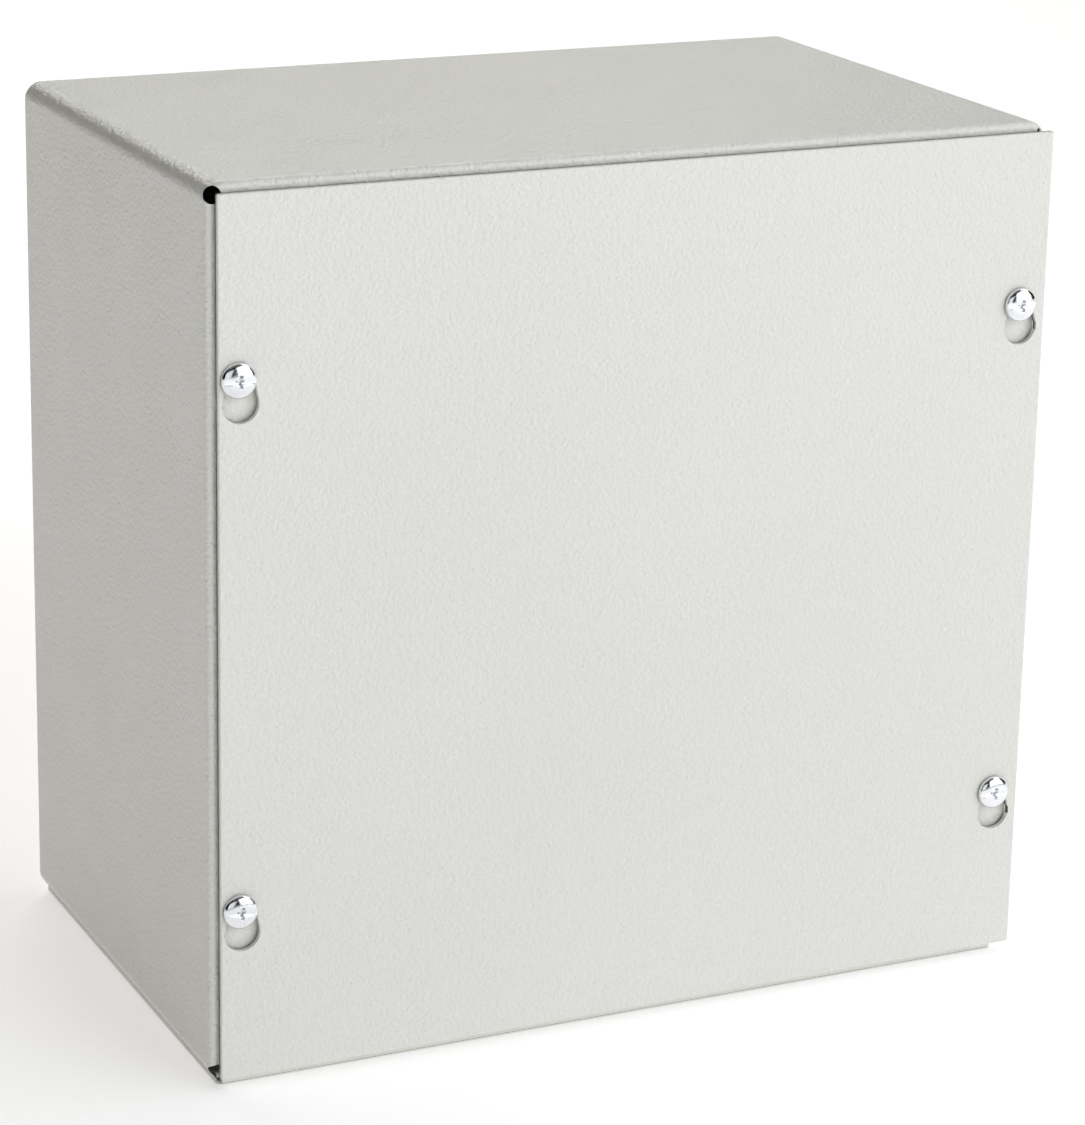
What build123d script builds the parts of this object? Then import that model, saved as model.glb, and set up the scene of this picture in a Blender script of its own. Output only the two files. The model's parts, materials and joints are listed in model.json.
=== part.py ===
from build123d import *
from math import sqrt
import os

# A surface-mounted, screw-cover sheet-steel enclosure, all sizes in millimetres.
# The origin is the centre of the outer back face: +X to the right seen from the
# front, +Y into the wall, +Z up. The front of the box therefore faces -Y.

# Body
body_width = 254.0
body_height = 254.0
body_depth = 152.4
sheet = 1.5
corner_bend = 5.2  # outside radius of the bends between the sides, the top and the returns
front_bend = 1.8  # outside radius of the bends into the front flanges
flange_reach = 15.9  # from the outer face of a wall to the free edge of its front flange
return_reach = 19.0  # the same, for the returns along the bottom of both sides
miter_gap = 0.8  # between neighbouring front flanges
miter_start = 0.14  # share of each top mitre left whole at its outer corner
miter_side_gap = 0.3  # between the side bends and the bottom panel's flange
relief_radius = 2.4
# centre of a left or right relief hole from its side, and from the top or bottom
relief_inset = {-1: (2.7, 3.7), 1: (4.6, 6.0)}
relief_depth = 2.0  # from the flange face to the point the relief hole is aimed at
top_relief_lean = (0.4, 0.25)  # how far a relief hole's axis leans out and up for each unit forwards
bottom_relief_lean = (0.5, 0.6)
relief_reach = 6.6  # the relief punch's travel each way, well past the sheet

# Bottom panel, lapped under the returns
bottom_side_inset = 2.5
bottom_bend_inset = 3.6

# Back panel, a shallow pan nested in the rear of the body
pan_depth = 14.0
pan_corner = 4.5
pan_bend = 3.0
pan_notch = 9.0
wall_hole_spacing = 203.2
wall_hole_radius = 3.55

# Cover
cover_width = 252.8
cover_height = 248.6
cover_sheet = 1.6
cover_shift = (1.9, 0.0)  # where the loose cover has settled, right and up
cover_gap = 0.7  # the loosely screwed cover stands this far off the flanges
cover_edge = 0.5
keyhole_shift = (1.1, 0.2)  # the middle of the four keyholes, punched a little off the cover's own
keyhole_big_radius = 5.2
keyhole_slot_radius = 3.7
keyhole_drop = 7.0
nicks = {-1: (0.15, 1.3), 1: (0.15, 2.2)}  # depth and height of the nick in a left or right keyhole

# Cover screws, number 10 combination pan heads
screw_spacing = (238.6, 149.2)
screw_shift = (0.3, 0.0)
screw_radius = 2.41
thread_pitch = 0.794
thread_depth = 0.4
screw_length = 12.7
head_radius = 4.9
head_height = 2.9
head_rim_height = 1.1
head_squareness = 0.62  # 0 is a cone, 1 a square-edged button
slot_width = 1.6
slot_depth = 1.15
recess_radius = 2.3
recess_depth = 2.1
recess_wing = 1.1
recess_tip = 0.4  # depth of the point at the bottom of the recess
screw_angles = {"upper_left": -1, "upper_right": -1, "lower_left": -4, "lower_right": -1}
clearance_hole_radius = 2.6

# Weld nuts behind the side flanges
nut_across_flats = 8.0
nut_height = 4.0
nut_collar_radius = 3.0
nut_collar_height = 0.6
nut_chamfer = 0.4
thread_clearance = 0.05

# Ground screw in its raised boss on the back panel
ground_place = (82.0, -88.0)
boss_height = 6.4
boss_top_radius = 7.0
boss_base_radius = 12.5
ground_length = 6.3
ground_head_radius = 5.6
ground_flange_height = 0.9
ground_hex_across = 7.9
ground_hex_height = 3.0

half_width = body_width / 2
half_height = body_height / 2
front = -body_depth
bend_line = front + front_bend
inner = front + sheet
returns_bottom = -half_height + sheet
wrapper_height = body_height - sheet
wrapper_middle = sheet / 2
cover_back = front - cover_gap
cover_front = cover_back - cover_sheet
well_outside = 20.0  # how far cutting tools reach past the metal


def screw_places():
    """Name and axis position of each cover screw."""
    for row, up in (("upper", 1), ("lower", -1)):
        for column, right in (("left", -1), ("right", 1)):
            x = screw_shift[0] + right * screw_spacing[0] / 2
            z = screw_shift[1] + up * screw_spacing[1] / 2
            yield f"{row}_{column}", x, z, right


def write(piece, name):
    """Labels a finished piece and writes its STEP file."""
    piece.part.label = name
    export_step(piece.part, f"parts/{name}.step")


def facing(x, y, z):
    """A plane across Y whose normal points out of the front."""
    return Plane(origin=(x, y, z), x_dir=(1, 0, 0), z_dir=(0, -1, 0))


def inward(x, y, z):
    """The same plane with its normal pointing into the box."""
    return Plane(origin=(x, y, z), x_dir=(1, 0, 0), z_dir=(0, 1, 0))


def beside(x, z):
    """A level plane through a fastener's axis, on which its profile is drawn."""
    return Plane(origin=(x, 0, z), x_dir=(1, 0, 0), z_dir=(0, 0, 1))


def axis_at(x, z):
    """A fastener's own axis."""
    return Axis((x, 0, z), (0, 1, 0))


os.makedirs("parts", exist_ok=True)

# ---------------------------------------------------------------------------
# Wrapper: one sheet folded over both sides and the top, with front flanges and
# a return along the bottom of each side
# ---------------------------------------------------------------------------
with BuildPart() as wrapper_void:
    with BuildSketch(facing(0, 0, wrapper_middle)):
        RectangleRounded(body_width - 2 * sheet, wrapper_height - 2 * sheet, corner_bend - sheet)
    extrude(amount=body_depth - sheet)
    fillet(wrapper_void.faces().sort_by(Axis.Y)[0].edges(), front_bend - sheet)

with BuildPart() as wrapper:
    with BuildSketch(facing(0, 0, wrapper_middle)):
        RectangleRounded(body_width, wrapper_height, corner_bend)
    extrude(amount=body_depth)
    fillet(wrapper.faces().sort_by(Axis.Y)[0].edges(), front_bend)
    add(wrapper_void.part, mode=Mode.SUBTRACT)

    # the front opening, whose lower corners run down the mitres to the bottom bend
    with BuildSketch(facing(0, bend_line, 0)):
        with BuildLine():
            side = half_width - flange_reach
            low = -half_height + flange_reach + miter_gap
            bend_side = half_width - front_bend - miter_side_gap
            bend_low = low - (bend_side - side)
            Polyline(
                (-side, half_height - flange_reach),
                (side, half_height - flange_reach),
                (side, low),
                (bend_side, bend_low),
                (bend_side, -half_height - well_outside),
                (-bend_side, -half_height - well_outside),
                (-bend_side, bend_low),
                (-side, low),
                close=True,
            )
        make_face()
    extrude(amount=well_outside, mode=Mode.SUBTRACT)

    # the open bottom between the two returns
    with BuildSketch(Plane.XY.offset(returns_bottom - well_outside)):
        with Locations((0, front / 2)):
            Rectangle(body_width - 2 * return_reach, body_depth + well_outside)
    extrude(amount=well_outside + corner_bend, mode=Mode.SUBTRACT)

    # mitre gaps between the top flange and the side flanges
    miter_length = flange_reach * sqrt(2)
    inner_side = -2 * sheet
    for right in (-1, 1):
        corner = Plane(
            origin=(right * half_width, front, half_height),
            x_dir=(-right, 0, -1),
            z_dir=(0, -1, 0),
        )
        with BuildSketch(corner.offset(inner_side)):
            with Locations((miter_length * (miter_start + 0.5), 0)):
                Rectangle(miter_length, miter_gap)
        extrude(amount=well_outside, mode=Mode.SUBTRACT)

    # relief holes where two bends meet, punched through the rounded corners
    for right in (-1, 1):
        for wall, up, lean in (
            (half_height, 1, top_relief_lean),
            (returns_bottom, -1, bottom_relief_lean),
        ):
            aim = (
                right * (half_width - relief_inset[right][0]),
                front + relief_depth,
                wall - up * relief_inset[right][1],
            )
            with BuildSketch(Plane(origin=aim, z_dir=(right * lean[0], -1, up * lean[1]))):
                Circle(relief_radius)
            extrude(amount=relief_reach, both=True, mode=Mode.SUBTRACT)

    # clearance holes for the cover screws
    for name, x, z, right in screw_places():
        with BuildSketch(facing(x, inner + sheet, z)):
            Circle(clearance_hole_radius)
        extrude(amount=well_outside, mode=Mode.SUBTRACT)
write(wrapper, "wrapper")

# ---------------------------------------------------------------------------
# Bottom panel: a flat sheet under the returns, turned up into the bottom flange
# ---------------------------------------------------------------------------
bottom_half = half_width - bottom_side_inset
turned_half = half_width - bottom_bend_inset
with BuildPart() as bottom_panel:
    with BuildSketch(Plane.XY.offset(-half_height)):
        with Locations((0, bend_line / 2)):
            Rectangle(2 * bottom_half, -bend_line)
    extrude(amount=sheet)
    with BuildSketch(Plane.YZ):
        with BuildLine():
            bend_centre = (bend_line, -half_height + front_bend)
            CenterArc(bend_centre, front_bend, 180, 90)
            Line((bend_line, -half_height), (bend_line, -half_height + sheet))
            CenterArc(bend_centre, front_bend - sheet, 180, 90)
            Line((front, bend_centre[1]), (inner, bend_centre[1]))
        make_face()
    extrude(amount=turned_half, both=True)
    with BuildSketch(facing(0, inner, 0)):
        with BuildLine():
            flange_low = -half_height + front_bend
            flange_top = -half_height + flange_reach
            Polyline(
                (-turned_half, flange_low),
                (turned_half, flange_low),
                (-flange_top - miter_gap / 2, flange_top),
                (flange_top + miter_gap / 2, flange_top),
                close=True,
            )
        make_face()
    extrude(amount=sheet)
write(bottom_panel, "bottom_panel")

# ---------------------------------------------------------------------------
# Back panel: a pan whose rims stand against the inside of the body, with four
# wall-mounting holes and a raised boss for the ground screw
# ---------------------------------------------------------------------------
pan_width = body_width - 2 * sheet
pan_height = wrapper_height - 2 * sheet
boss_face = -boss_height - sheet
with BuildPart() as pan_void:
    with BuildSketch(facing(0, -sheet, wrapper_middle)):
        RectangleRounded(pan_width - 2 * sheet, pan_height - 2 * sheet, pan_corner - sheet)
    extrude(amount=pan_depth)
    fillet(pan_void.faces().sort_by(Axis.Y)[-1].edges(), pan_bend - sheet)

with BuildPart() as back_panel:
    with BuildSketch(facing(0, 0, wrapper_middle)):
        RectangleRounded(pan_width, pan_height, pan_corner)
    extrude(amount=pan_depth)
    fillet(back_panel.faces().sort_by(Axis.Y)[-1].edges(), pan_bend)
    add(pan_void.part, mode=Mode.SUBTRACT)
    with BuildSketch(facing(0, -pan_bend, wrapper_middle)):
        with GridLocations(pan_width - pan_notch, pan_height - pan_notch, 2, 2):
            Rectangle(pan_notch, pan_notch)
    extrude(amount=well_outside, mode=Mode.SUBTRACT)
    with BuildSketch(facing(0, 0, 0)):
        with GridLocations(wall_hole_spacing, wall_hole_spacing, 2, 2):
            Circle(wall_hole_radius)
    extrude(amount=sheet, both=True, mode=Mode.SUBTRACT)
    with BuildSketch(beside(*ground_place)):
        Polygon(
            (0, 0),
            (boss_base_radius, 0),
            (boss_base_radius, -sheet),
            (boss_top_radius, boss_face),
            (0, boss_face),
            align=None,
        )
    revolve(axis=axis_at(*ground_place))
    with BuildSketch(beside(*ground_place)):
        Polygon(
            (0, sheet),
            (boss_base_radius - sheet, sheet),
            (boss_base_radius - sheet, 0),
            (boss_top_radius - sheet, -boss_height),
            (0, -boss_height),
            align=None,
        )
    revolve(axis=axis_at(*ground_place), mode=Mode.SUBTRACT)
    with BuildSketch(facing(ground_place[0], 0, ground_place[1])):
        Circle(screw_radius + thread_clearance)
    extrude(amount=well_outside, mode=Mode.SUBTRACT)
write(back_panel, "back_panel")

# ---------------------------------------------------------------------------
# Cover: a flat sheet with four teardrop keyholes, big end down
# ---------------------------------------------------------------------------
with BuildPart() as cover:
    with BuildSketch(facing(cover_shift[0], cover_back, cover_shift[1])):
        Rectangle(cover_width, cover_height)
    extrude(amount=cover_sheet)
    fillet(cover.edges().filter_by(Axis.Y), cover_edge)
    fillet(cover.faces().sort_by(Axis.Y)[0].edges(), cover_edge)
    for name, x, z, right in screw_places():
        slot_x = x - screw_shift[0] + keyhole_shift[0]
        slot_z = z - screw_shift[1] + keyhole_shift[1]
        nick_depth, nick_height = nicks[right]
        with BuildSketch(facing(slot_x, cover_back, slot_z)):
            with Locations((0, 0)):
                Circle(keyhole_slot_radius)
            with Locations((0, -keyhole_drop)):
                Circle(keyhole_big_radius)
            make_hull()
            with Locations((right * (keyhole_big_radius + nick_depth) / 2, -keyhole_drop)):
                Rectangle(keyhole_big_radius + nick_depth, nick_height)
        extrude(amount=cover_sheet, mode=Mode.SUBTRACT)
write(cover, "cover")

# ---------------------------------------------------------------------------
# Threaded shanks, shared by the cover screws and the ground screw
# ---------------------------------------------------------------------------


def shank_outline(face, length):
    """Half section of a ridged shank that starts under the head at y = face."""
    root = screw_radius - thread_depth
    turns = int((length - 2 * thread_pitch) / thread_pitch)
    points = [(0, face), (screw_radius, face), (screw_radius, face + thread_pitch)]
    for turn in range(1, turns + 1):
        crest = face + (turn + 1) * thread_pitch
        points += [(root, crest - thread_pitch / 2), (screw_radius, crest)]
    points += [(root, face + length), (0, face + length)]
    return points


# ---------------------------------------------------------------------------
# Cover screws: domed pan heads with a full slot and a cross recess
# ---------------------------------------------------------------------------


def make_recess(x, z, angle):
    """The tapered cross recess of one head, as a solid to take away."""
    top = cover_front - head_height
    with BuildPart() as recess:
        with BuildSketch(beside(x, z)):
            Polygon(
                (0, top - head_height),
                (recess_radius, top - head_height),
                (recess_radius, top),
                (recess_wing / 2, top + recess_depth),
                (0, top + recess_depth + recess_tip),
                align=None,
            )
        revolve(axis=axis_at(x, z))
        with BuildSketch(facing(x, cover_front, z).rotated((0, 0, angle))):
            Rectangle(2 * recess_radius, recess_wing)
            Rectangle(recess_wing, 2 * recess_radius)
        extrude(amount=head_height * 2, mode=Mode.INTERSECT)
    return recess


def make_screw(x, z, angle):
    """One cover screw, tightened against the cover."""
    recess = make_recess(x, z, angle)
    rim = cover_front - head_rim_height
    top = cover_front - head_height
    shoulder = rim + (top - rim) * head_squareness
    with BuildPart() as screw:
        with BuildSketch(beside(x, z)):
            with BuildLine():
                Polyline((0, top), (0, cover_front), (head_radius, cover_front), (head_radius, rim))
                Bezier(
                    (head_radius, rim),
                    (head_radius, shoulder),
                    (head_radius * head_squareness, top),
                    (0, top),
                )
            make_face()
            Polygon(*shank_outline(cover_front, screw_length), align=None)
        revolve(axis=axis_at(x, z))
        with BuildSketch(facing(x, top + slot_depth, z).rotated((0, 0, angle))):
            Rectangle(2 * head_radius + slot_width, slot_width)
        extrude(amount=head_height, mode=Mode.SUBTRACT)
        add(recess.part, mode=Mode.SUBTRACT)
    return screw


# ---------------------------------------------------------------------------
# Weld nuts: hexagons on a short round collar, seated behind the side flanges
# ---------------------------------------------------------------------------


def make_nut(x, z):
    """One weld nut, with the running clearance of its thread."""
    with BuildPart() as nut:
        with BuildSketch(inward(x, inner, z)):
            Circle(nut_collar_radius)
        extrude(amount=nut_collar_height)
        with BuildSketch(inward(x, inner + nut_collar_height, z)):
            RegularPolygon(nut_across_flats / 2, 6, major_radius=False, rotation=30)
        extrude(amount=nut_height)
        chamfer(nut.faces().sort_by(Axis.Y)[-1].edges(), nut_chamfer)
        with BuildSketch(inward(x, inner, z)):
            Circle(screw_radius + thread_clearance)
        extrude(amount=nut_collar_height + nut_height, mode=Mode.SUBTRACT)
    return nut


for name, x, z, right in screw_places():
    write(make_screw(x, z, screw_angles[name]), f"cover_screw_{name}")
    write(make_nut(x, z), f"weld_nut_{name}")

# ---------------------------------------------------------------------------
# Ground screw: a slotted hexagon washer head on the boss
# ---------------------------------------------------------------------------
ground_top = boss_face - ground_flange_height - ground_hex_height
with BuildPart() as ground_screw:
    with BuildSketch(facing(ground_place[0], boss_face, ground_place[1])):
        Circle(ground_head_radius)
    extrude(amount=ground_flange_height)
    with BuildSketch(facing(ground_place[0], boss_face - ground_flange_height, ground_place[1])):
        RegularPolygon(ground_hex_across / 2, 6, major_radius=False)
    extrude(amount=ground_hex_height)
    chamfer(ground_screw.faces().sort_by(Axis.Y)[0].edges(), nut_chamfer)
    with BuildSketch(beside(*ground_place)):
        Polygon(*shank_outline(boss_face, ground_length), align=None)
    revolve(axis=axis_at(*ground_place))
    with BuildSketch(facing(ground_place[0], ground_top + slot_depth, ground_place[1])):
        Rectangle(2 * ground_head_radius, slot_width)
    extrude(amount=ground_hex_height, mode=Mode.SUBTRACT)
write(ground_screw, "ground_screw")
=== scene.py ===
import json
import math

import bmesh
import bpy
from mathutils import Matrix, Vector

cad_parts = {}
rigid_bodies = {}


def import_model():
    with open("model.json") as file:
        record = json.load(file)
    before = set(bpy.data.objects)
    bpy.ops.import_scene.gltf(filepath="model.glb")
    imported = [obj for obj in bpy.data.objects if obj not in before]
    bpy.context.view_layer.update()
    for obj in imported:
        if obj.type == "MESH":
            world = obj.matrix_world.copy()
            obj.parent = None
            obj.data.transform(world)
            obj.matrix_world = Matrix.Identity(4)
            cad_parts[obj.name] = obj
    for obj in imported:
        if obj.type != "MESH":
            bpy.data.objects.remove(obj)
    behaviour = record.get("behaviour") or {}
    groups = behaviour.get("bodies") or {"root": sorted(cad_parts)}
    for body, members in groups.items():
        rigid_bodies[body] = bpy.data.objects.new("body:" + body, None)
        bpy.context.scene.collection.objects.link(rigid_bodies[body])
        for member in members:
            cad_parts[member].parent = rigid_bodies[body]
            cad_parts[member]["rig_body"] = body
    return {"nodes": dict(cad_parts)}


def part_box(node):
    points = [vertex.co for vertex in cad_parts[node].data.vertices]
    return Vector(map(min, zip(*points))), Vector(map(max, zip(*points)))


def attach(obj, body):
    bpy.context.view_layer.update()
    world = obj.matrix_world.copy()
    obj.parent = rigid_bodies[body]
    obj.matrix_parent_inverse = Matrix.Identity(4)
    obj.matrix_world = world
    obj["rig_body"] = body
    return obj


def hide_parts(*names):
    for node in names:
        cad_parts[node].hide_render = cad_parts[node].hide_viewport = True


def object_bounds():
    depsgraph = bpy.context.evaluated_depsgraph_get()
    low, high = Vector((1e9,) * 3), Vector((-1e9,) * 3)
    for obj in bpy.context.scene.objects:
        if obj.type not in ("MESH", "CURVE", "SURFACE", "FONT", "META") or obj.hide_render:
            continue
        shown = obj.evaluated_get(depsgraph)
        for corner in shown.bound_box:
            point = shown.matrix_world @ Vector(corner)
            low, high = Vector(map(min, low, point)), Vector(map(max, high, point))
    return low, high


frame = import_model()
cad_low, cad_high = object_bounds()
nodes = frame["nodes"]
MM = 0.001

# ---------------------------------------------------------------------------
# Camera: a long lens that looks down at the front from its left
# ---------------------------------------------------------------------------
SENSOR = 36.0
LENS = 120.05
SHIFT = -0.08
AZIMUTH, ELEVATION, ROLL = 25.36, 16.22, 1.145
AIM_OFFSET = (25.94 * MM, 34.83 * MM)
DISTANCE = 1050.0 * MM
CLIP = (0.05, 30)


def body_front_middle():
    """The middle of the body's front plane."""
    low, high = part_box("wrapper")
    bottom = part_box("bottom_panel")[0].z
    return Vector(((low.x + high.x) / 2, low.y, (bottom + high.z) / 2))


def make_camera():
    """A long lens at the photograph's azimuth, elevation and roll."""
    a, e, r = (math.radians(v) for v in (AZIMUTH, ELEVATION, ROLL))
    forward = Vector((math.sin(a) * math.cos(e), math.cos(a) * math.cos(e), -math.sin(e)))
    level = Vector((math.cos(a), -math.sin(a), 0))
    upright = level.cross(forward)
    right = math.cos(r) * level + math.sin(r) * upright
    up = -math.sin(r) * level + math.cos(r) * upright
    place = body_front_middle() - AIM_OFFSET[0] * right + AIM_OFFSET[1] * up - DISTANCE * forward
    data = bpy.data.cameras.new("camera")
    data.sensor_width = SENSOR
    data.lens = LENS
    data.shift_y = SHIFT
    data.clip_start, data.clip_end = CLIP
    camera = bpy.data.objects.new("camera", data)
    bpy.context.scene.collection.objects.link(camera)
    turn = Matrix((right, up, -forward)).transposed()
    camera.matrix_world = Matrix.Translation(place) @ turn.to_4x4()
    bpy.context.scene.camera = camera


# ---------------------------------------------------------------------------
# Material building: colours are linear, lengths are metres, shares run from 0 to 1
# ---------------------------------------------------------------------------
NOISE_SPREAD = (0.3, 0.7)
SHADER_SAMPLES = 6
EDGE_TURN = (0.995, 0.80)
CREVICE_SKY = (0.5, 0.2)
WHITE = (1.0, 1.0, 1.0)

COAT_TONES = ((0.752, 0.744, 0.697), (0.768, 0.760, 0.714))
COAT_DRIFT = 90 * MM
COAT_SPECK = (0.66, 0.655, 0.615)
COAT_SPECK_SIZE, COAT_SPECK_SHARE = 0.9 * MM, 0.30
# painted highlight: a paler tone laid in patches along the sheet edges where they catch the light; the
# edges also get a duller roughness
COAT_EDGE_HIGHLIGHT = (0.90, 0.895, 0.86)
COAT_EDGE_PATCH_SIZE, COAT_EDGE_HIGHLIGHT_SHARE = 5 * MM, 0.8
COAT_EDGE_REACH, COAT_EDGE_HIGHLIGHT_MOST, COAT_EDGE_DULLNESS = 0.7 * MM, 0.9, 0.06
# painted shade: a dark tone laid into the gaps, crevices and recesses where shade falls
COAT_CREVICE_SHADE = (0.13, 0.125, 0.10)
COAT_CREVICE_SHADE_REACH = 2.2 * MM
COAT_ROUGHNESS = (0.31, 0.38)
COAT_ROUGHNESS_SIZE = 25 * MM
COAT_IOR = 1.5
COAT_BUMPS = ((40 * MM, 0.03 * MM), (1.1 * MM, 0.34 * MM), (0.45 * MM, 0.06 * MM))

METAL_DRIFT = 2.2 * MM
# painted highlight: a brighter tone laid along the metal edges where they catch the light
METAL_BRIGHTER, METAL_BRIGHTEST, METAL_EDGE_HIGHLIGHT_SHARE = 1.12, 0.97, 0.6
# painted shade: a near-black tone laid into the recesses and under the head rims where shade falls
METAL_CREVICE_SHADE, METAL_CREVICE_SHADE_REACH = 0.12, 0.7 * MM
METAL_ROUGHNESS_SIZE = 1.1 * MM
SCRATCH_STRETCH = (1.0, 1.0, 9.0)
SCRATCH_SIZE, SCRATCH_DEPTH = 0.9 * MM, 0.006 * MM
PIT_SIZE, PIT_DEPTH = 0.35 * MM, 0.004 * MM

# name: light tone, dark tone, roughness range, reach of the painted edge highlight
METALS = {
    "bright_zinc": ((0.86, 0.87, 0.89), (0.78, 0.79, 0.81), (0.12, 0.20), 0.15 * MM),
    "plain_steel": ((0.56, 0.54, 0.51), (0.42, 0.40, 0.38), (0.28, 0.42), 0.2 * MM),
    "green_zinc": ((0.09, 0.36, 0.14), (0.06, 0.27, 0.11), (0.18, 0.30), 0.2 * MM),
}


def set_input(tree, target, value):
    """Sets an input socket to a value, or links it to the socket given instead of one."""
    if isinstance(value, bpy.types.NodeSocket):
        tree.links.new(value, target)
    else:
        target.default_value = value


def add(tree, kind, inputs=None, **settings):
    """A new node with its settings, and with each named input set to a value or linked to a socket."""
    made = tree.nodes.new(kind)
    for key, value in settings.items():
        setattr(made, key, value)
    for key, value in (inputs or {}).items():
        set_input(tree, made.inputs[key], value)
    return made


def noise(tree, where, size, detail=2.0, roughness=0.5):
    """Noise whose lumps are about size metres across."""
    return add(
        tree,
        "ShaderNodeTexNoise",
        {"Vector": where, "Scale": 1 / size, "Detail": detail, "Roughness": roughness},
    ).outputs["Fac"]


def map_range(tree, value, before, after):
    """value, with the range before mapped to the range after and clamped to it."""
    inputs = {"Value": value, "From Min": before[0], "From Max": before[1]}
    inputs.update({"To Min": after[0], "To Max": after[1]})
    return add(tree, "ShaderNodeMapRange", inputs).outputs["Result"]


def remap(tree, value, start, end):
    """Noise, which is mostly near a half, spread over the range from start to end."""
    return map_range(tree, value, NOISE_SPREAD, (start, end))


def blend_colours(tree, share, first, second):
    """Two colours or colour sockets mixed by a share socket."""
    mixed = add(tree, "ShaderNodeMix", data_type="RGBA")
    for index, value in ((0, share), (6, first), (7, second)):
        set_input(tree, mixed.inputs[index], (*value, 1.0) if isinstance(value, tuple) else value)
    return mixed.outputs[2]


def arithmetic(tree, operation, first, second):
    """One Math node."""
    return add(tree, "ShaderNodeMath", {0: first, 1: second}, operation=operation).outputs[0]


def edge_share(tree, radius):
    """About 0 on open faces, rising towards 1 where the surface turns within the radius."""
    geometry = add(tree, "ShaderNodeNewGeometry")
    rounded = add(tree, "ShaderNodeBevel", {"Radius": radius}, samples=SHADER_SAMPLES)
    normals = {0: geometry.outputs["Normal"], 1: rounded.outputs["Normal"]}
    dot = add(tree, "ShaderNodeVectorMath", normals, operation="DOT_PRODUCT")
    return map_range(tree, dot.outputs["Value"], EDGE_TURN, (0.0, 1.0))


def crevice_share(tree, reach):
    """A mask for painted shade: 0 on open faces, rising to 1 deep in the gaps and corners narrower than the
    reach.
    """
    open_sky = add(tree, "ShaderNodeAmbientOcclusion", {"Distance": reach}, samples=SHADER_SAMPLES)
    return map_range(tree, open_sky.outputs["AO"], CREVICE_SKY, (0.0, 1.0))


def bumps(tree, layers):
    """Stacked Bump nodes, one for each (height socket, depth in metres)."""
    normal = None
    for height, depth in layers:
        inputs = {"Height": height, "Distance": depth, "Strength": 1.0}
        if normal is not None:
            inputs["Normal"] = normal
        normal = add(tree, "ShaderNodeBump", inputs).outputs["Normal"]
    return normal


def new_material(name):
    """An empty material, its node tree, its shader and the object's own coordinates in metres."""
    material = bpy.data.materials.new(name)
    material.use_nodes = True
    tree = material.node_tree
    shader = tree.nodes["Principled BSDF"]
    where = add(tree, "ShaderNodeTexCoord").outputs["Object"]
    return material, tree, shader, where


def powder_coat():
    """Warm light-grey powder coat: orange peel, tone drift, a painted highlight and duller roughness along
    the edges, painted shade in the crevices.
    """
    material, tree, shader, where = new_material("powder_coat")
    drift = remap(tree, noise(tree, where, COAT_DRIFT, 3.0), 0.0, 1.0)
    tone = blend_colours(tree, drift, *COAT_TONES)
    speck = remap(tree, noise(tree, where, COAT_SPECK_SIZE), 0.0, 1.0)
    tone = blend_colours(tree, arithmetic(tree, "MULTIPLY", speck, COAT_SPECK_SHARE), tone, COAT_SPECK)
    # painted highlight: paler colour in patches along the edges, and a duller roughness there
    edge = edge_share(tree, COAT_EDGE_REACH)
    patchy = remap(tree, noise(tree, where, COAT_EDGE_PATCH_SIZE, 4.0, 0.6), 0.0, COAT_EDGE_HIGHLIGHT_MOST)
    edge_highlight_and_dullness = arithmetic(tree, "MULTIPLY", edge, patchy)
    tone = blend_colours(tree, arithmetic(tree, "MULTIPLY", edge_highlight_and_dullness, COAT_EDGE_HIGHLIGHT_SHARE), tone, COAT_EDGE_HIGHLIGHT)
    # painted shade: the colour darkens in the gaps and crevices
    tone = blend_colours(tree, crevice_share(tree, COAT_CREVICE_SHADE_REACH), tone, COAT_CREVICE_SHADE)
    tree.links.new(tone, shader.inputs["Base Color"])
    gloss = remap(tree, noise(tree, where, COAT_ROUGHNESS_SIZE, 3.0), *COAT_ROUGHNESS)
    gloss = arithmetic(tree, "ADD", gloss, arithmetic(tree, "MULTIPLY", edge_highlight_and_dullness, COAT_EDGE_DULLNESS))
    tree.links.new(gloss, shader.inputs["Roughness"])
    shader.inputs["IOR"].default_value = COAT_IOR
    normal = bumps(tree, [(noise(tree, where, size, 1.0), depth) for size, depth in COAT_BUMPS])
    tree.links.new(normal, shader.inputs["Normal"])
    return material


def metal(name):
    """Plated or bare metal: two tones, fine scratches, a painted highlight along the edges, painted shade
    in the crevices.
    """
    light, dark, roughness, radius = METALS[name]
    material, tree, shader, where = new_material(name)
    shader.inputs["Metallic"].default_value = 1.0
    drift = remap(tree, noise(tree, where, METAL_DRIFT, 4.0, 0.6), 0.0, 1.0)
    tone = blend_colours(tree, drift, light, dark)
    # painted highlight: brighter colour along the edges
    edge = edge_share(tree, radius)
    bright = tuple(min(METAL_BRIGHTEST, c * METAL_BRIGHTER) for c in light)
    tone = blend_colours(tree, arithmetic(tree, "MULTIPLY", edge, METAL_EDGE_HIGHLIGHT_SHARE), tone, bright)
    # painted shade: the colour darkens in the recesses and crevices
    crevice_shade = tuple(METAL_CREVICE_SHADE * c for c in dark)
    tone = blend_colours(tree, crevice_share(tree, METAL_CREVICE_SHADE_REACH), tone, crevice_shade)
    tree.links.new(tone, shader.inputs["Base Color"])
    gloss = remap(tree, noise(tree, where, METAL_ROUGHNESS_SIZE, 3.0), *roughness)
    tree.links.new(gloss, shader.inputs["Roughness"])
    stretch = add(tree, "ShaderNodeMapping", {"Vector": where, "Scale": SCRATCH_STRETCH})
    scratches = noise(tree, stretch.outputs["Vector"], SCRATCH_SIZE, 3.0, 0.65)
    pits = noise(tree, where, PIT_SIZE)
    normal = bumps(tree, ((scratches, SCRATCH_DEPTH), (pits, PIT_DEPTH)))
    tree.links.new(normal, shader.inputs["Normal"])
    return material


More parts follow.
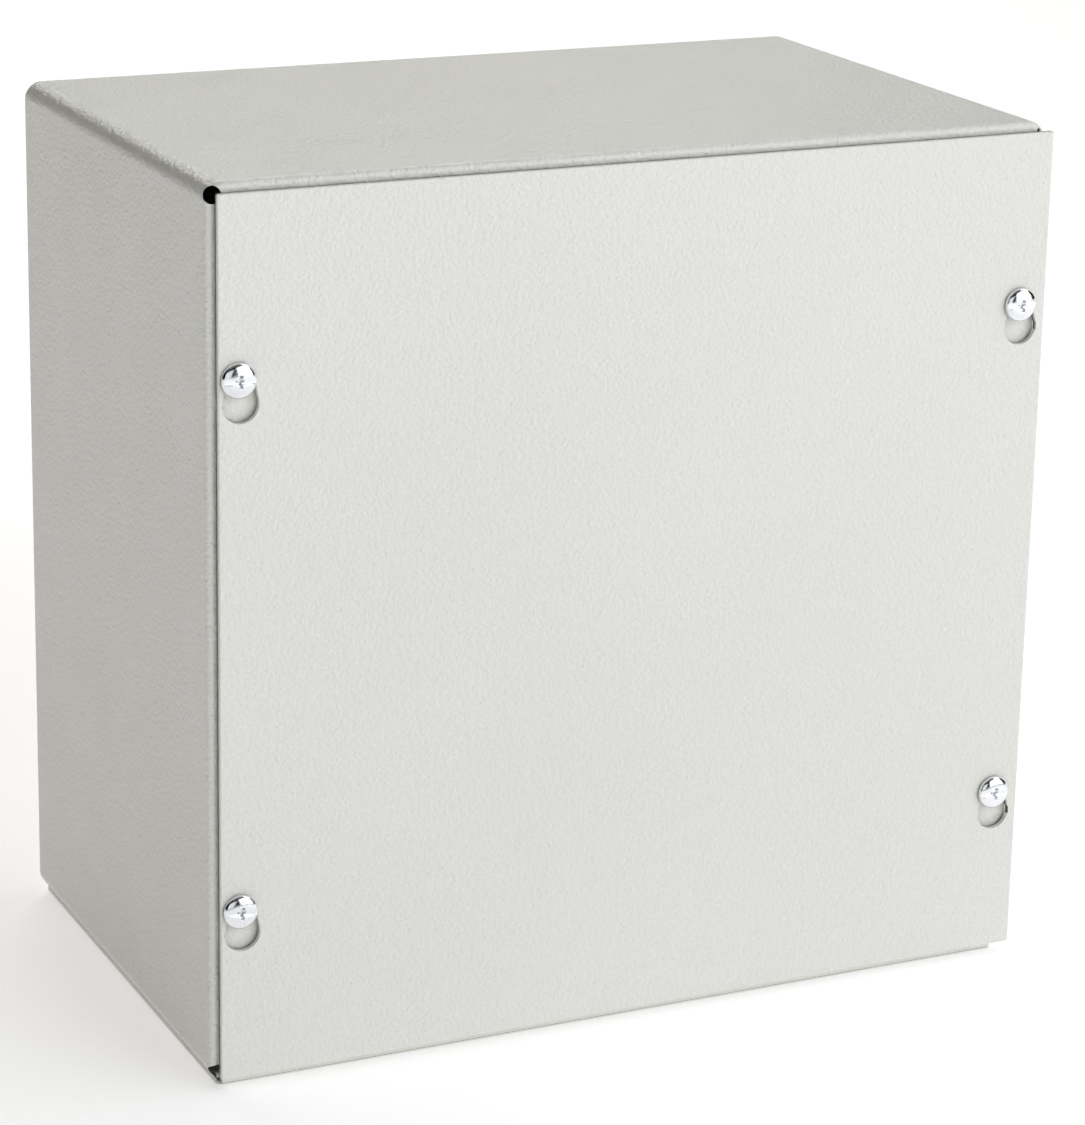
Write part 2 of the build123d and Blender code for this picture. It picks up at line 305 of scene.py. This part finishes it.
# ---------------------------------------------------------------------------
# Pieces
# ---------------------------------------------------------------------------
SHEETS = ("wrapper", "bottom_panel", "back_panel", "cover")
SHEET_EDGE = 0.22 * MM
HARDWARE_EDGE = 0.08 * MM

# vertices closer than MERGE are welded, facets within FLAT are joined, and edges past SHARP count as cut
MERGE = 0.002 * MM
FLAT = math.radians(0.5)
SHARP = math.radians(32)

# an edge shorter than TIGHT times the bevel crowds it, and a curved cut's steps are shorter than CURVE_STEP
TIGHT = 0.65
CURVE_STEP = 1.0 * MM

BEVEL_SEGMENTS = 3
FLAT_FACE_WEIGHT = 80


def place_piece(piece, node):
    """Puts a piece on the body of the CAD node that it stands for."""
    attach(piece, nodes[node]["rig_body"])
    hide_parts(node)


def link_mesh(name, mesh, material):
    """A new object around a mesh, in one material."""
    mesh.materials.clear()
    mesh.materials.append(material)
    piece = bpy.data.objects.new(name, mesh)
    bpy.context.scene.collection.objects.link(piece)
    return piece


def mark_cut_edges(shape, width):
    """Bevel weight 1 on each sharp edge, apart from curved cuts through facets too narrow for the width."""
    weight = shape.edges.layers.float.new("bevel_weight_edge")
    sharp = [edge for edge in shape.edges if edge.is_manifold and edge.calc_face_angle() > SHARP]
    narrow = [edge for edge in shape.edges if edge.calc_length() < TIGHT * width]
    crowded = {vert for edge in narrow for vert in edge.verts}
    curved = [edge for edge in sharp if edge.calc_length() < CURVE_STEP]
    spread = -1
    while spread != len(crowded):
        spread = len(crowded)
        for edge in curved:
            if crowded.intersection(edge.verts):
                crowded.update(edge.verts)
    for edge in sharp:
        if not crowded.intersection(edge.verts):
            edge[weight] = 1.0


def rounded_copy(node, finish, material, edge):
    """A folded sheet or a fastener as the CAD has it, with every cut edge rounded over."""
    mesh = bpy.data.meshes.new(node)
    shape = bmesh.new()
    shape.from_mesh(nodes[node].data)
    bmesh.ops.remove_doubles(shape, verts=shape.verts, dist=MERGE)
    bmesh.ops.dissolve_limit(shape, angle_limit=FLAT, verts=shape.verts, edges=shape.edges)
    mark_cut_edges(shape, edge)
    for face in shape.faces:
        face.smooth = True
    shape.to_mesh(mesh)
    shape.free()
    piece = link_mesh(f"{node}_{finish}", mesh, material)
    bevel = piece.modifiers.new("cut_edges", "BEVEL")
    bevel.width = edge
    bevel.segments = BEVEL_SEGMENTS
    bevel.limit_method = "WEIGHT"
    bevel.use_clamp_overlap = False
    bevel.miter_outer = "MITER_ARC"
    weighted = piece.modifiers.new("flat_faces", "WEIGHTED_NORMAL")
    weighted.weight = FLAT_FACE_WEIGHT
    weighted.keep_sharp = False
    place_piece(piece, node)


# ---------------------------------------------------------------------------
# Cover screws: built head first along +Y, with the crown at y = 0
# ---------------------------------------------------------------------------
SHANK_RADIUS = 2.41 * MM
THREAD_ROOT = 2.0 * MM
THREAD_PITCH = 0.794 * MM
THREAD_SEGMENTS = 40
# (share of the pitch, radius) along one turn of the thread
THREAD_PROFILE = (
    (0.0, THREAD_ROOT),
    (0.22, THREAD_ROOT),
    (0.44, SHANK_RADIUS),
    (0.62, SHANK_RADIUS),
    (0.84, THREAD_ROOT),
)
NECK_PITCHES = 0.5
CORE_RADIUS = 0.995 * THREAD_ROOT
END_CHAMFER = 0.4 * MM
END_CLEARANCE = 0.01 * MM

HEAD_RADIUS = 4.88 * MM
HEAD_HEIGHT = 2.88 * MM
HEAD_RIM = 0.95 * MM
HEAD_UNDERCUT = 0.55 * MM
HEAD_SQUARENESS = 0.62
HEAD_SEGMENTS = 96
DOME_STEPS, RIM_STEPS = 22, 4
SLOT_WIDTH, SLOT_DEPTH = 1.6 * MM, 1.15 * MM
RECESS_RADIUS = 1.9 * MM
RECESS_WING = 0.95 * MM
RECESS_DEPTH = 2.1 * MM
RECESS_TIP_WIDTH, RECESS_TIP_LENGTH = 0.45, 0.35
VOXEL = 0.1 * MM
SOFTEN_FACTOR, SOFTEN_ROUNDS = 0.5, 2
SCREW_TURNS = {"upper_left": -1, "upper_right": -1, "lower_left": -4, "lower_right": -1}
QUARTERS = ((-1, -1), (1, -1), (1, 1), (-1, 1))


def lathe(profile, segments):
    """A closed solid of revolution about Y from (radius, y) points that start and end on the axis."""
    shape = bmesh.new()
    rings = []
    for radius, y in profile:
        if radius == 0:
            rings.append([shape.verts.new((0, y, 0))])
            continue
        angles = (2 * math.pi * k / segments for k in range(segments))
        rings.append([shape.verts.new((radius * math.cos(t), y, radius * math.sin(t))) for t in angles])
    for first, second in zip(rings, rings[1:]):
        for k in range(segments):
            corners = [first[k % len(first)], first[(k + 1) % segments % len(first)]]
            corners += [second[(k + 1) % segments % len(second)], second[k % len(second)]]
            shape.faces.new(dict.fromkeys(corners))
    bmesh.ops.recalc_face_normals(shape, faces=shape.faces)
    return shape


def to_object(shape, name):
    """A bmesh handed over to a new object."""
    mesh = bpy.data.meshes.new(name)
    shape.to_mesh(mesh)
    shape.free()
    made = bpy.data.objects.new(name, mesh)
    bpy.context.scene.collection.objects.link(made)
    return made


def bar(width, depth, length, tip):
    """A cutter across the head: width along Z, tapering to tip of it at the depth."""
    shape = bmesh.new()
    loops = []
    for y, share in ((-HEAD_HEIGHT, 1.0), (0.0, 1.0), (depth, tip)):
        x, z = length / 2, width / 2 * share
        loops.append([shape.verts.new((sx * x, y, sz * z)) for sx, sz in QUARTERS])
    for low, high in zip(loops, loops[1:]):
        for k in range(4):
            shape.faces.new((low[k], low[(k + 1) % 4], high[(k + 1) % 4], high[k]))
    shape.faces.new(loops[0])
    shape.faces.new(loops[-1])
    bmesh.ops.recalc_face_normals(shape, faces=shape.faces)
    return shape


def dome_profile():
    """Half section of the pan head from its crown at y = 0 to the flat under it."""
    rim = HEAD_HEIGHT - HEAD_RIM
    shoulder = rim * (1 - HEAD_SQUARENESS)
    points = []
    for k in range(DOME_STEPS + 1):
        t = k / DOME_STEPS
        b, c, d = 3 * t * (1 - t) ** 2, 3 * t * t * (1 - t), t**3
        radius = HEAD_RADIUS * (b * HEAD_SQUARENESS + c + d)
        points.append((radius, c * shoulder + d * rim))
    for k in range(RIM_STEPS + 1):
        t = k * math.pi / (2 * RIM_STEPS)
        under = HEAD_RADIUS - HEAD_UNDERCUT * (1 - math.cos(t))
        points.append((under, HEAD_HEIGHT - HEAD_UNDERCUT * (1 - math.sin(t))))
    return [*points, (0, HEAD_HEIGHT)]


def cut(piece, cutter):
    """Takes the cutter out of the piece, and the cutter out of the scene."""
    boolean = piece.modifiers.new("cut", "BOOLEAN")
    boolean.operation = "DIFFERENCE"
    boolean.solver = "EXACT"
    boolean.object = cutter
    settle(piece)
    bpy.data.objects.remove(cutter)


def settle(piece):
    """Applies every modifier of a piece."""
    bpy.context.view_layer.update()
    graph = bpy.context.evaluated_depsgraph_get()
    mesh = bpy.data.meshes.new_from_object(piece.evaluated_get(graph))
    piece.modifiers.clear()
    piece.data = mesh


def pan_head():
    """The mesh of one pan head with its slot and its tapered cross recess, all edges softened."""
    head = to_object(lathe(dome_profile(), HEAD_SEGMENTS), "pan_head")
    cut(head, to_object(bar(SLOT_WIDTH, SLOT_DEPTH, 4 * HEAD_RADIUS, 1.0), "slot_cutter"))
    for turn in (0, 90):
        cross = bar(RECESS_WING, RECESS_DEPTH, 2 * RECESS_RADIUS, RECESS_TIP_WIDTH)
        for vert in cross.verts:
            if vert.co.y > 0:
                vert.co.x *= RECESS_TIP_LENGTH
        bmesh.ops.rotate(cross, verts=cross.verts, matrix=Matrix.Rotation(math.radians(turn), 3, "Y"))
        cut(head, to_object(cross, "cross_cutter"))
    remesh = head.modifiers.new("even_out", "REMESH")
    remesh.mode = "VOXEL"
    remesh.voxel_size = VOXEL
    smooth = head.modifiers.new("soften", "SMOOTH")
    smooth.factor = SOFTEN_FACTOR
    smooth.iterations = SOFTEN_ROUNDS
    settle(head)
    mesh = head.data
    bpy.data.objects.remove(head)
    return mesh


def thread(shape, start, length):
    """Adds a shank with a true helical thread along Y to a bmesh, with a plain neck and a chamfered end."""
    segments = THREAD_SEGMENTS
    turns = int(length / THREAD_PITCH) - 1
    rows = []
    for step in range(turns * segments + 1):
        angle = 2 * math.pi * step / segments
        fade = min(1.0, step / segments, (turns * segments - step) / segments)
        row = []
        for share, radius in THREAD_PROFILE:
            radius = THREAD_ROOT + (radius - THREAD_ROOT) * fade
            y = start + (step / segments + share) * THREAD_PITCH
            row.append(shape.verts.new((radius * math.cos(angle), y, radius * math.sin(angle))))
        rows.append(row)
    for first, second in zip(rows, rows[1:]):
        for k in range(len(THREAD_PROFILE) - 1):
            shape.faces.new((first[k], first[k + 1], second[k + 1], second[k]))
    for step in range((turns - 1) * segments):
        low, high = rows[step], rows[step + segments]
        low_next, high_next = rows[step + 1], rows[step + 1 + segments]
        shape.faces.new((low[-1], high[0], high_next[0], low_next[-1]))
    profile = (
        (0, start),
        (SHANK_RADIUS, start),
        (SHANK_RADIUS, start + NECK_PITCHES * THREAD_PITCH),
        (CORE_RADIUS, start + THREAD_PITCH),
        (CORE_RADIUS, start + length - END_CHAMFER),
        (THREAD_ROOT - END_CHAMFER, start + length),
        (0, start + length),
    )
    core = bpy.data.meshes.new("core")
    turned = lathe(profile, segments)
    turned.to_mesh(core)
    turned.free()
    shape.from_mesh(core)
    bpy.data.meshes.remove(core)


def cover_screw(place, head_mesh, material):
    """One detailed cover screw where the CAD has its plain one, a little short of it at both ends."""
    node = f"cover_screw_{place}"
    low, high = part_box(node)
    shape = bmesh.new()
    shape.from_mesh(head_mesh)
    turn = Matrix.Rotation(math.radians(-SCREW_TURNS[place]), 3, "Y")
    bmesh.ops.rotate(shape, verts=shape.verts, matrix=turn)
    thread(shape, HEAD_HEIGHT, high.y - low.y - HEAD_HEIGHT - 2 * END_CLEARANCE)
    axis = Vector(((low.x + high.x) / 2, low.y + END_CLEARANCE, (low.z + high.z) / 2))
    bmesh.ops.translate(shape, verts=shape.verts, vec=axis)
    for face in shape.faces:
        face.smooth = True
    mesh = bpy.data.meshes.new(node)
    shape.to_mesh(mesh)
    shape.free()
    mesh.set_sharp_from_angle(angle=SHARP)
    piece = link_mesh(f"{node}_threaded", mesh, material)
    place_piece(piece, node)


# ---------------------------------------------------------------------------
# Stage: pale floor and soft light
# ---------------------------------------------------------------------------
FLOOR_HALF = 8.0
FLOOR_GAP = 0.05 * MM
FLOOR_TONES = ((0.80, 0.80, 0.80), (0.84, 0.84, 0.84))
FLOOR_MOTTLE = 0.5
FLOOR_ROUGHNESS, FLOOR_SPECULAR = 0.9, 0.1
GLOW_COLOUR = (1.0, 0.98, 0.968, 1.0)
NEAR_GLOW, FAR_GLOW = 0.464, 1.0
GLOW_RISE = (1.6, 4.0)

# name: azimuth and elevation in degrees seen from the box, distance, (width, height), watts, colour
CARDS = {
    "key": (36, 25, 2.0, (2.0, 1.7), 26.4, (0.917, 0.97, 1.0)),
    "fill": (-38, 18, 2.0, (1.9, 1.2), 6.5, WHITE),
    "overhead": (0, 88, 1.9, (2.6, 2.2), 2.4, WHITE),
    "upper_left": (-95, 54, 2.0, (1.4, 1.2), 0.22, WHITE),
    "right": (92, 50, 2.0, (1.2, 1.2), 10.7, (0.955, 0.93, 1.0)),
    "back": (170, 35, 2.4, (2.0, 1.0), 24.5, (1.0, 0.986, 0.936)),
}


def make_floor():
    """A pale, faintly glowing floor, brighter further out, so that it stays white where no shadow falls."""
    level = cad_low.z - FLOOR_GAP
    mesh = bpy.data.meshes.new("floor")
    mesh.from_pydata([(x * FLOOR_HALF, y * FLOOR_HALF, level) for x, y in QUARTERS], [], [(0, 1, 2, 3)])
    material, tree, shader, where = new_material("pale_floor")
    mottle = remap(tree, noise(tree, where, FLOOR_MOTTLE, 3.0), 0.0, 1.0)
    tree.links.new(blend_colours(tree, mottle, *FLOOR_TONES), shader.inputs["Base Color"])
    shader.inputs["Roughness"].default_value = FLOOR_ROUGHNESS
    shader.inputs["Specular IOR Level"].default_value = FLOOR_SPECULAR
    shader.inputs["Emission Color"].default_value = GLOW_COLOUR
    away = add(tree, "ShaderNodeVectorMath", {0: where}, operation="LENGTH").outputs["Value"]
    glow = map_range(tree, away, GLOW_RISE, (NEAR_GLOW, FAR_GLOW))
    tree.links.new(glow, shader.inputs["Emission Strength"])
    floor = link_mesh("floor", mesh, material)


def make_light():
    """Large soft cards around the box, and a surround that only the camera sees, as plain white."""
    middle = body_front_middle()
    for name, (azimuth, elevation, distance, size, power, colour) in CARDS.items():
        a, e = math.radians(azimuth), math.radians(elevation)
        away = Vector((math.sin(a) * math.cos(e), -math.cos(a) * math.cos(e), math.sin(e)))
        data = bpy.data.lights.new(name, "AREA")
        data.shape = "RECTANGLE"
        data.size, data.size_y = size
        data.energy = power
        data.color = colour
        card = bpy.data.objects.new(name, data)
        bpy.context.scene.collection.objects.link(card)
        card.location = middle + distance * away
        card.rotation_euler = away.to_track_quat("Z", "Y").to_euler()
        card.visible_camera = False
    world = bpy.data.worlds.new("surround")
    world.use_nodes = True
    tree = world.node_tree
    surround = tree.nodes["Background"]
    surround.inputs["Color"].default_value = (*WHITE, 1.0)
    seen = add(tree, "ShaderNodeLightPath").outputs["Is Camera Ray"]
    tree.links.new(seen, surround.inputs["Strength"])
    bpy.context.scene.world = world


make_camera()
make_floor()
make_light()
bpy.context.scene.view_settings.view_transform = "Standard"

paint = powder_coat()
for sheet_node in SHEETS:
    rounded_copy(sheet_node, "coated", paint, SHEET_EDGE)

zinc, steel, green = (metal(name) for name in METALS)
screw_head = pan_head()
for screw_place in SCREW_TURNS:
    cover_screw(screw_place, screw_head, zinc)
    rounded_copy(f"weld_nut_{screw_place}", "softened", steel, HARDWARE_EDGE)
rounded_copy("ground_screw", "softened", green, HARDWARE_EDGE)
